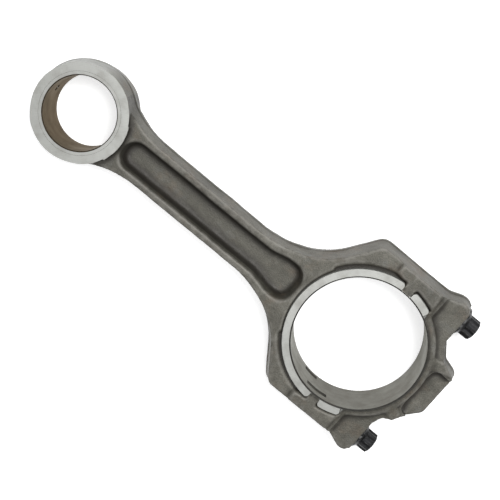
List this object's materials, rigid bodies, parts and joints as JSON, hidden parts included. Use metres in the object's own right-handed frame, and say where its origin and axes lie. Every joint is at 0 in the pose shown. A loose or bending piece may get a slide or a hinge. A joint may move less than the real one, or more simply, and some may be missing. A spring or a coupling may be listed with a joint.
{
  "type": "connecting rod",
  "caption": "Forged I-beam diesel connecting rod with a bolted bearing cap and a pressed small-end bush.",
  "frame": {"origin": "centre of the crank bore, midway between the rod's two faces", "axes": "+X along the rod to the small end, +Z along the axis of both bores"},
  "size_m": [0.3089, 0.1226, 0.039],
  "materials": {
    "forged_steel": "matte",
    "cap_steel": "matte",
    "bush_bronze": "bored bronze",
    "black_bolt_steel": "black oxide"
  },
  "bodies": {
    "rod": {"rod_forging": "forged_steel", "small_end_bush": "bush_bronze"},
    "cap": {"bearing_cap": "cap_steel"},
    "bolt_left": {"cap_bolt_left": "black_bolt_steel"},
    "bolt_right": {"cap_bolt_right": "black_bolt_steel"}
  },
  "joints": [
    {"name": "cap_lift_off", "type": "slide", "parent": "rod", "child": "cap", "axis": [-1, 0, 0], "range_m": [0, 0.06]},
    {"name": "bolt_left_unscrew", "type": "slide", "parent": "cap", "child": "bolt_left", "axis": [-1, 0, 0], "range_m": [0, 0.03]},
    {"name": "bolt_right_unscrew", "type": "slide", "parent": "cap", "child": "bolt_right", "axis": [-1, 0, 0], "range_m": [0, 0.03]}
  ]
}
